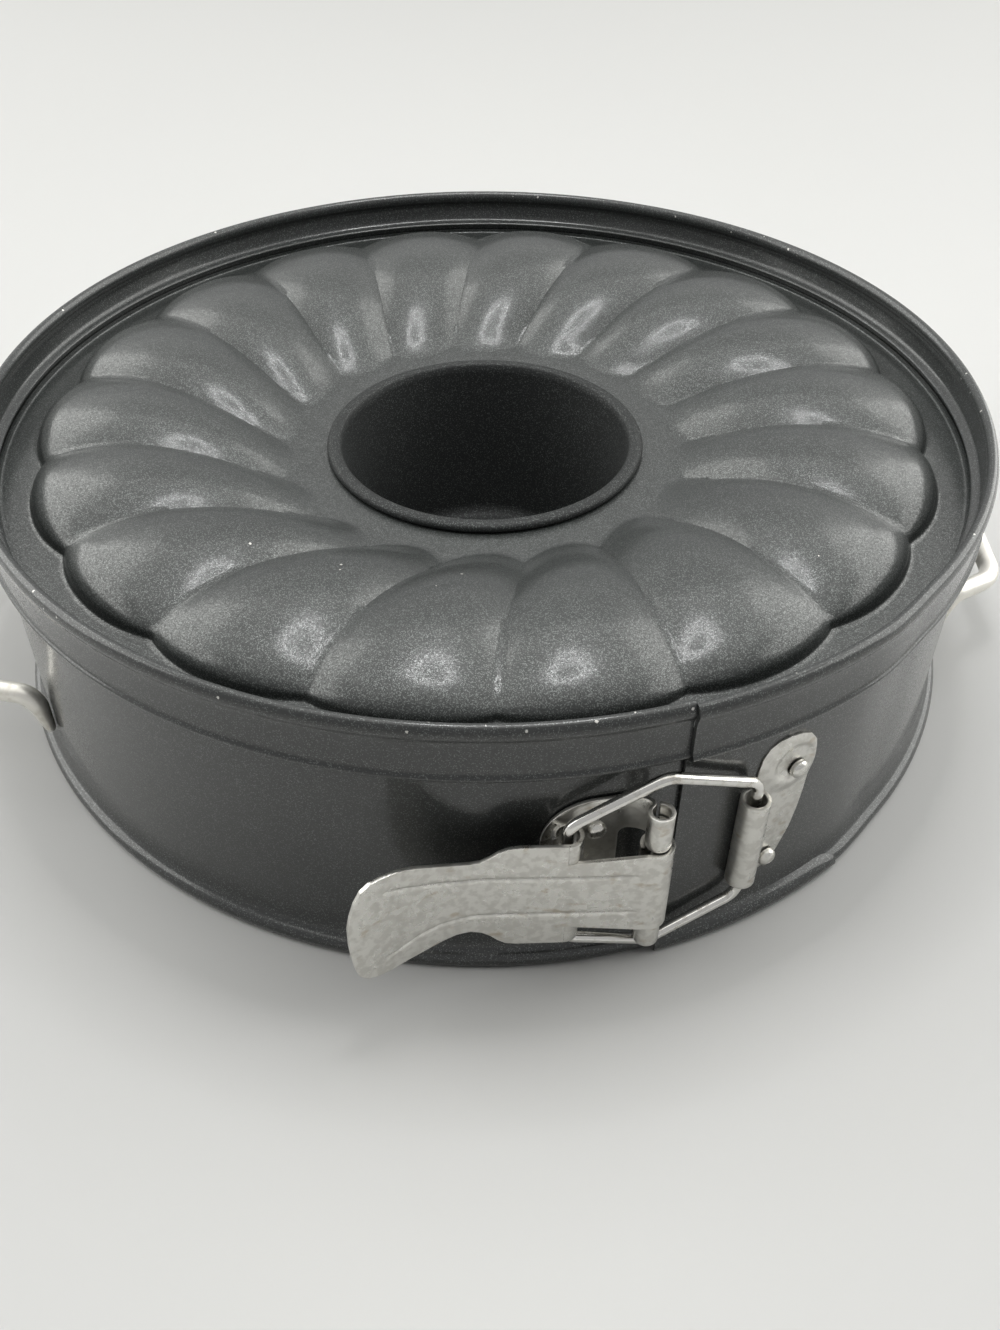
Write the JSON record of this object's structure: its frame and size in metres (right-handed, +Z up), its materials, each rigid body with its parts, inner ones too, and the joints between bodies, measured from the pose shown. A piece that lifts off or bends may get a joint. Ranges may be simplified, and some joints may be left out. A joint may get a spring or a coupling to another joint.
{
  "type": "springform bundt pan",
  "caption": "Round non-stick springform pan with a fluted tube base, a lapped ring band that springs open, an over-centre lever latch with a wire bail, and wire loop handles.",
  "frame": {"origin": "middle of the footprint, on the surface that the open rim stands on; the pan's own axis is 6.41 mm behind it, because the lever stands out in front", "axes": "+Z up from the open rim towards the fluted base, the pan standing upside down as pictured; -Y to the front, where the latch is; +X to the right, towards one handle"},
  "size_m": [0.2764, 0.2584, 0.0702],
  "materials": {
    "coated_sheet": "satin dark grey non-stick coating with a fine metallic fleck",
    "plated_steel": "nickel plated sheet steel, mottled and slightly stained",
    "bright_wire": "bright drawn steel wire"
  },
  "bodies": {
    "base": {"fluted_base": "coated_sheet", "centre_tube": "coated_sheet"},
    "ring": {"ring_band_left": "coated_sheet", "latch_base_plate": "plated_steel", "latch_base_rivet_upper": "plated_steel", "latch_base_rivet_lower": "plated_steel", "lever_pivot_pin": "bright_wire", "handle_left": "bright_wire"},
    "ring_free_end": {"ring_band_right": "coated_sheet", "catch_plate": "plated_steel", "catch_rivet_upper": "plated_steel", "catch_rivet_lower": "plated_steel", "handle_right": "bright_wire"},
    "lever": {"latch_lever": "plated_steel"},
    "bail": {"wire_bail": "bright_wire"}
  },
  "joints": [
    {"name": "ring_lift", "type": "slide", "parent": "base", "child": "ring", "axis": [0, 0, 1], "range_m": [0, 0.075]},
    {"name": "lever_swing", "type": "hinge", "parent": "ring", "child": "lever", "pos_m": [0.03259, -0.1152, 0.028], "axis": [0, 0, 1], "range_deg": [0, 95]},
    {"name": "ring_spread", "type": "hinge", "parent": "ring", "child": "ring_free_end", "pos_m": [0, 0.12591, 0.035], "axis": [0, 0, 1], "range_deg": [0, 2]},
    {"name": "bail_swing", "type": "hinge", "parent": "ring_free_end", "child": "bail", "pos_m": [0.05285, -0.10488, 0.028], "axis": [0, 0, 1], "range_deg": [0, 31]}
  ],
  "couplings": [
    {"joint": "ring_spread", "follows": "lever_swing", "ratio": 0.020506},
    {"joint": "bail_swing", "follows": "lever_swing", "ratio": 0.31934}
  ]
}
